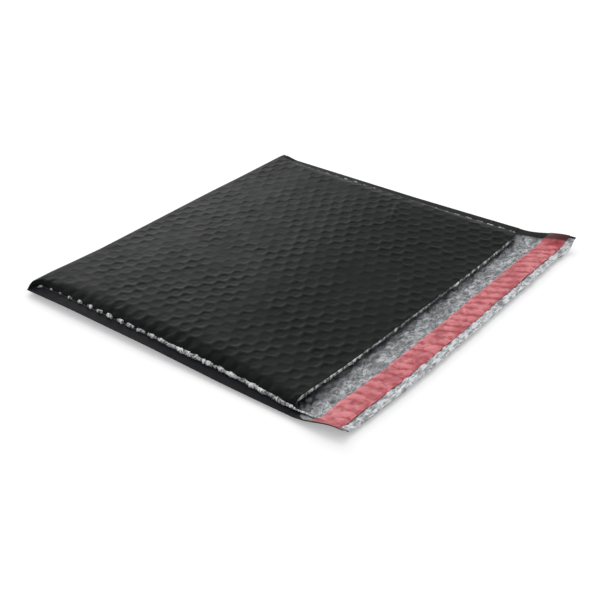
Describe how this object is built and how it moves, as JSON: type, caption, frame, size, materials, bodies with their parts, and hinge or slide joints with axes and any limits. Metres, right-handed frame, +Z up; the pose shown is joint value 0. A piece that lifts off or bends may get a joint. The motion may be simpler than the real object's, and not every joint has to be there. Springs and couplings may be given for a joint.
{
  "type": "padded envelope",
  "caption": "Black padded mailing envelope, empty and lying open: film skin lined with bubble film, side seals, gummed flap with its release liner still on.",
  "frame": {"origin": "Under the middle of the bounding box, on the surface that the envelope rests on.", "axes": "+X runs from the closed fold to the flap, +Y along the mouth, +Z up out of the front panel."},
  "size_m": [0.304, 0.32, 0.014],
  "materials": {
    "black_film": "soft satin black, opaque",
    "clear_bubble_film": "clear glossy film over black, seen as silvery grey",
    "adhesive": "tacky, pale, translucent",
    "red_liner": "smooth translucent red film"
  },
  "bodies": {
    "root": {"outer_film": "black_film", "bubble_lining": "clear_bubble_film", "adhesive_strip": "adhesive", "release_liner": "red_liner"}
  },
  "joints": []
}
